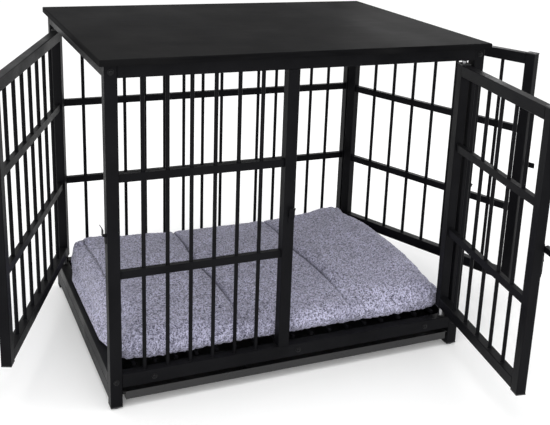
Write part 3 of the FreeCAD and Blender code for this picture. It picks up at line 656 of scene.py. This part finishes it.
plush_mat = bpy.data.objects.new("plush_mat", nodes["cushion"].data.copy())
scene.collection.objects.link(plush_mat)
work = bmesh.new()
work.from_mesh(plush_mat.data)
bmesh.ops.remove_doubles(work, verts=work.verts, dist=1e-5)
work.to_mesh(plush_mat.data)
work.free()
put_coordinates(plush_mat.data, (coordinates(plush_mat.data) - pad_middle) * cover_slack + pad_middle)
voxels = plush_mat.modifiers.new("voxels", "REMESH")
voxels.mode = "VOXEL"
voxels.voxel_size = pad_voxel
baked(plush_mat)
start_points = coordinates(plush_mat.data)
sewn = plush_mat.vertex_groups.new(name="sewn")
sewn_gap = np.abs(start_points[:, :1] - np.array(seam_places)).min(axis=1)
held = (sewn_gap < sew_width) | (start_points[:, 2] < pad_low.z + held_height)
sewn.add(np.flatnonzero(held).tolist(), 1.0, "REPLACE")
cloth = plush_mat.modifiers.new("stuffing", "CLOTH")
cloth.settings.use_pressure = True
cloth.settings.uniform_pressure_force = stuffing_pressure
cloth.settings.vertex_group_mass = "sewn"
cloth.settings.effector_weights.gravity = 0.0
cloth.point_cache.frame_start = 1
cloth.point_cache.frame_end = stuffing_frames
for step in range(1, stuffing_frames + 1):
    scene.frame_set(step)
baked(plush_mat)
scene.frame_set(1)
swell = coordinates(plush_mat.data) - start_points
swell_size = np.linalg.norm(swell, axis=1, keepdims=True)
swell *= np.minimum(1.0, most_swell / np.maximum(swell_size, 1e-9))
swell[:, :2] *= side_give
put_coordinates(plush_mat.data, start_points + swell)
plush_mat.vertex_groups.clear()
finer = plush_mat.modifiers.new("finer", "SUBSURF")
finer.levels = 1
finer.render_levels = 1
baked(plush_mat)

# The cover's own form: wandering seams, full ends, and a lip over the side beams
cover = coordinates(plush_mat.data)
sewn_x = cover[:, 0].copy()
from_seam = np.abs(sewn_x[:, None] - np.array(seam_places)).min(axis=1)
from_closing = np.abs(sewn_x - closing_seam)
drift = seam_drift - seam_bow * bell(cover[:, 1] - bow_middle, bow_width)
cover[:, 0] += drift * (1 - np.clip((sewn_x - pad_middle[0]) / half_pad, -1.0, 1.0) ** 2)
end_loft = np.where(cover[:, 0] > 0.0, right_end_loft, left_end_loft)
end_share = ramp(np.abs(cover[:, 0]), end_start, end_run)
fullness = loft + end_loft * end_share + seam_loft * bell(from_seam, seam_reach)
cover[:, 2] = pad_low.z + (cover[:, 2] - pad_low.z) * fullness
cover[:, 0] = np.clip(cover[:, 0], pile_room - most_reach, most_reach - pile_room)
at_end = ramp(np.abs(cover[:, 0]), lip_start, lip_run) ** 2
low_down = ramp(cover[:, 2], lip_top, -lip_fade)
off_corner = ramp(np.abs(cover[:, 1]), corner_line, -corner_run)
lip_share = low_down * off_corner
cover[:, 0] += np.sign(cover[:, 0]) * lip_reach * at_end * lip_share
droop = lip_droop * lip_share * ramp(np.abs(cover[:, 0]), droop_start, droop_run)
cover[:, 2] -= droop

# Pile along the normals of the stuffed cover, pulled down in the seams and left off underneath
outward = np.empty(len(cover) * 3)
plush_mat.data.vertex_normals.foreach_get("vector", outward)
outward = outward.reshape(-1, 3)
groove = bell(from_seam, groove_width) + closing_groove * bell(from_closing, groove_width)
groove *= np.maximum(ramp(cover[:, 1], groove_front, groove_run), least_groove)
large_tufts = tufts(cover, large_cell, 3, tuft_spread)
small_tufts = tufts(cover, small_cell, 8, tuft_spread)
lean = flat_lean + (1 - flat_lean) * brushed_waves(cover[:, 0], cover[:, 1])
pile = (large_share * large_tufts + (1 - large_share) * small_tufts) * lean
upright = 1 - np.abs(outward[:, 2])
locks = np.maximum(0.0, -outward[:, 1]) * tufts(cover, lock_cell, 5, lock_spread)
tuft_height = (pile_top + pile_side * upright) * pile + lock_reach * locks
free = ramp(cover[:, 2], pad_low.z + under_start, under_run)
raised = cover + outward * ((tuft_height - groove_depth * groove) * free)[:, None]
raised[:, 2] = np.maximum(raised[:, 2], pad_low.z - droop)
put_coordinates(plush_mat.data, raised)
plush_mat.data.shade_smooth()
# The pile mark, lowered in the seam furrows, gives the plush its painted shade in the valleys and furrows
mark(plush_mat.data, "pile", pile * (1 - furrow_shade * groove))
mark(plush_mat.data, "sewn_x", sewn_x)

# Plush: pale curls with painted shade in the gaps between them and in the low pile, brushed patches, and
# stitches that sink into the pile
# The first colour is painted shade for the gaps between curls and the low pile; the second is the curl tips'
# own colour
gap_shade_tone = (0.068, 0.066, 0.098)
curl_tip = (0.7, 0.69, 0.9)
brushed_tone = (0.25, 0.245, 0.335)
thread_tone = (0.03, 0.028, 0.045)
fibre_scale = 900.0
brush_scale = 11.0
wander_scale = 160.0
wander_reach = 0.006
large_curl_scale = 200.0
small_curl_scale = 370.0
sink_scale = 85.0
stitch_pitch = 0.0085
thread_half = 0.0007
thread_edge = 0.0027
seam_hidden_y = -0.29
seam_shown_y = -0.13


def curls(tree, vector, scale):
    """Curly pile as soft cells: 1 at the middle of each curl, 0 in the gaps between them."""
    node = tree.nodes.new("ShaderNodeTexVoronoi")
    node.feature = "SMOOTH_F1"
    node.inputs["Smoothness"].default_value = 0.35
    node.inputs["Scale"].default_value = scale
    tree.links.new(vector, node.inputs["Vector"])
    return remap(tree, node.outputs["Distance"], 0.26, 0.7, 1.0, 0.0)


def wandering(tree, vector, scale, reach):
    """A vector pushed about by smooth noise, by its share of a reach."""
    node = tree.nodes.new("ShaderNodeTexNoise")
    node.inputs["Scale"].default_value = scale
    node.inputs["Detail"].default_value = 2.0
    tree.links.new(vector, node.inputs["Vector"])
    push = tree.nodes.new("ShaderNodeVectorMath")
    push.operation = "MULTIPLY_ADD"
    push.inputs[1].default_value = (reach, reach, reach)
    tree.links.new(node.outputs["Color"], push.inputs[0])
    tree.links.new(vector, push.inputs[2])
    return push.outputs["Vector"]


def marked(tree, name):
    """The number that a mesh holds at each point under a name."""
    node = tree.nodes.new("ShaderNodeAttribute")
    node.attribute_name = name
    return node.outputs["Fac"]


plush, plush_tree, plush_shader = new_material("lavender_plush")
plush_place = plush_tree.nodes.new("ShaderNodeTexCoord").outputs["Object"]
fibre = noise(plush_tree, plush_place, fibre_scale, detail=4.0, roughness=0.7)
brushed = noise(plush_tree, plush_place, brush_scale, detail=4.0, roughness=0.6)
curl_place = wandering(plush_tree, plush_place, wander_scale, wander_reach)
curl_mix = calc(
    plush_tree, "ADD",
    calc(plush_tree, "MULTIPLY", curls(plush_tree, curl_place, large_curl_scale), 0.5),
    calc(plush_tree, "MULTIPLY", curls(plush_tree, curl_place, small_curl_scale), 0.5),
)
# Painted shade: the colour falls towards the painted gap shade where the pile mark is low (between tufts and
# in the seam furrows) and in the gaps between curls
valley_shade_mix = remap(plush_tree, marked(plush_tree, "pile"), 0.1, 0.7, 0.25, 1.0)
curl_gap_shade_mix = remap(plush_tree, curl_mix, 0.1, 0.62, 0.05, 1.0)
tip_mix = calc(plush_tree, "MULTIPLY", valley_shade_mix, curl_gap_shade_mix)
fibre_share = remap(plush_tree, fibre, 0.25, 0.75, 0.75, 1.15)
fibre_mix = calc(plush_tree, "MULTIPLY", tip_mix, fibre_share)
plush_tone = blend_colour(plush_tree, fibre_mix, gap_shade_tone, curl_tip)
brush_mix = remap(plush_tree, brushed, 0.42, 0.66, 0.0, 0.3)
brush_tone = blend_colour(plush_tree, brush_mix, plush_tone, brushed_tone)
plush_split = plush_tree.nodes.new("ShaderNodeSeparateXYZ")
plush_tree.links.new(plush_place, plush_split.inputs[0])
across = marked(plush_tree, "sewn_x")
seam_gaps = [
    calc(plush_tree, "ABSOLUTE", calc(plush_tree, "SUBTRACT", across, line))
    for line in (*seam_places, closing_seam)
]
inner_seam = calc(plush_tree, "MINIMUM", seam_gaps[0], seam_gaps[1])
nearest_seam = calc(plush_tree, "MINIMUM", inner_seam, seam_gaps[2])
seam_line = remap(plush_tree, nearest_seam, thread_half, thread_edge, 0.95, 0.0)
stitch_turns = calc(plush_tree, "MULTIPLY", plush_split.outputs["Y"], 2 * math.pi / stitch_pitch)
stitches = remap(plush_tree, calc(plush_tree, "SINE", stitch_turns), -0.6, 0.1, 0.4, 1.0)
sunk = remap(plush_tree, noise(plush_tree, plush_place, sink_scale, detail=2.0), 0.4, 0.55, 0.2, 1.0)
front_fade = remap(plush_tree, plush_split.outputs["Y"], seam_hidden_y, seam_shown_y, 0.2, 1.0)
shown_seam = calc(plush_tree, "MULTIPLY", sunk, front_fade)
seam_thread = calc(plush_tree, "MULTIPLY", seam_line, stitches)
seam_mix = calc(plush_tree, "MULTIPLY", seam_thread, shown_seam)
plush_colour = blend_colour(plush_tree, seam_mix, brush_tone, thread_tone)
plush_tree.links.new(plush_colour, plush_shader.inputs["Base Color"])
plush_shader.inputs["Roughness"].default_value = 0.95
plush_shader.inputs["Specular IOR Level"].default_value = 0.15
plush_shader.inputs["Sheen Weight"].default_value = 0.25
plush_shader.inputs["Sheen Roughness"].default_value = 0.5
plush_height = calc(plush_tree, "ADD", curl_mix, fibre)
relief(plush_tree, plush_shader, plush_height, strength=0.7, distance=0.0018)
plush_mat.data.materials.clear()
plush_mat.data.materials.append(plush)
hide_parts("cushion")
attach(plush_mat, "cage")

# Door fittings: caps that close the ends of the stiles, and the bushes that the pivot pins turn in.
# Moulded in black plastic, the caps are pushed into the stiles and the bushes into holes in the beams.
cap_plastic = skinned(
    "cap_plastic",
    deep=(0.011, 0.011, 0.0115),
    light=(0.019, 0.019, 0.02),
    rough=(0.42, 0.56),
    grain=1500.0,
    depth=0.0002,
    dust=0.04,
)
dress(cap_plastic, ["pivot_bushes"])
for door in door_names:
    dress(cap_plastic, [f"{door}_door_caps"])

# Drop latches: a backing plate, a slotted slider with a tongue, a rivet that guides it and a round knob.
# Plate and slider are stamped steel under the same black powder, and the knob is turned plastic.
for door in door_names:
    dress(black_coat, [f"{door}_latch_plate", f"{door}_latch_slider"])
knob_plastic = skinned(
    "knob_plastic",
    deep=(0.009, 0.009, 0.0095),
    light=(0.014, 0.014, 0.015),
    rough=(0.22, 0.32),
    grain=1200.0,
    depth=0.0001,
    dust=0.04,
)
millimetre = 0.001
frame_half = 0.0125
plate_thick = 0.003
slide_gap = 0.0003
slider_thick = 0.003
slider_face = frame_half + plate_thick + slide_gap + slider_thick
knob_level = 0.494
knob_offset = 0.0075
knob_columns = 28
rivet_level = 0.463
rivet_lift = 0.0003
rivet_columns = 24

# Radius and height in millimetres: the knob from its stem to its crown, the rivet from its foot to its crown
knob_profile = np.array([
    (0, 0), (3.6, 0), (3.4, 2.5), (4.2, 3.8), (6.2, 4.3), (6.8, 5),
    (7, 6), (7, 8.8), (6.7, 9.8), (5.8, 10.6), (4, 11), (0, 11.1),
]) * millimetre
rivet_profile = np.array([
    (0, -0.2), (5.5, -0.2), (5.5, 0.6), (5, 1.4), (4, 1.9), (2, 2.25), (0, 2.3),
]) * millimetre
for door in door_names:
    stile_line = hinges[door][2] - stile / 2
    outer = -1.0 if door == "left" else 1.0
    swing = math.radians(hinges[door][1])
    look = (-outer * math.sin(swing), outer * math.cos(swing), 0.0)
    knob_plan = on_door(door, stile_line + knob_offset, outer * slider_face)
    knob_place = [(*knob_plan, knob_level)]
    knob = grid_mesh(f"{door}_knob", placed(turned(knob_profile, knob_columns), knob_place, [look]))
    soften(knob, 40)
    knob.data.materials.append(knob_plastic)
    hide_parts(f"{door}_latch_knob")
    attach(knob, f"{door}_latch")
    rivet_plan = on_door(door, stile_line, outer * (slider_face + rivet_lift))
    rivet_place = [(*rivet_plan, rivet_level)]
    rivet_grid = turned(rivet_profile, rivet_columns)
    rivet = grid_mesh(f"{door}_rivet_dome", placed(rivet_grid, rivet_place, [look]))
    soften(rivet, 50)
    rivet.data.materials.append(black_oxide)
    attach(rivet, f"{door}_door")

# Stage: a plain pale floor under an even white surround, and the photograph's viewpoint.
# Soft boxes light the crate from above and in front, and a small one puts a sheen on the board.
floor_half = 30.0
floor_mesh = bpy.data.meshes.new("floor")
floor_corners = [(-floor_half, -floor_half, 0.0), (floor_half, -floor_half, 0.0)]
floor_corners += [(floor_half, floor_half, 0.0), (-floor_half, floor_half, 0.0)]
floor_mesh.from_pydata(floor_corners, [], [(0, 1, 2, 3)])
floor = bpy.data.objects.new("floor", floor_mesh)
scene.collection.objects.link(floor)
floor_paint, _, floor_shader = new_material("floor_paint")
floor_shader.inputs["Base Color"].default_value = (0.93, 0.93, 0.93, 1.0)
floor_shader.inputs["Emission Color"].default_value = (1.0, 1.0, 1.0, 1.0)
floor_shader.inputs["Emission Strength"].default_value = 0.1
floor_shader.inputs["Roughness"].default_value = 0.9
floor_shader.inputs["Specular IOR Level"].default_value = 0.1
floor.data.materials.append(floor_paint)

world = bpy.data.worlds.new("studio")
world.use_nodes = True
world.node_tree.nodes["Background"].inputs["Color"].default_value = (1.0, 1.0, 1.0, 1.0)
world.node_tree.nodes["Background"].inputs["Strength"].default_value = 1.0
scene.world = world


def soft_light(name, place, aim, size, power):
    """A square soft box at a place, looking at a point."""
    data = bpy.data.lights.new(name, "AREA")
    data.shape = "SQUARE"
    data.size = size
    data.energy = power
    light = bpy.data.objects.new(name, data)
    scene.collection.objects.link(light)
    light.location = place
    light.rotation_euler = (Vector(aim) - Vector(place)).to_track_quat("-Z", "Y").to_euler()


soft_light("overhead", place=(-0.6, -0.8, 3.6), aim=(0.0, 0.0, 0.3), size=2.6, power=40.0)
soft_light("front_fill", place=(-2.6, -3.4, 1.6), aim=(0.0, 0.0, 0.4), size=2.0, power=40.0)
soft_light("board_sheen", place=(1.9, 2.1, 1.45), aim=(0.35, -0.1, 0.88), size=0.9, power=6.0)

camera_place = (-0.9182, -2.3464, 1.2971)
camera_turn = (72.913, -2.41, -23.8)
camera_data = bpy.data.cameras.new("camera")
camera_data.sensor_width = 36.0
camera_data.lens = 60.123
camera_data.shift_x = -0.0468
camera_data.shift_y = -0.1141
camera = bpy.data.objects.new("camera", camera_data)
camera.location = camera_place
camera.rotation_euler = [math.radians(turn) for turn in camera_turn]
scene.collection.objects.link(camera)
scene.camera = camera
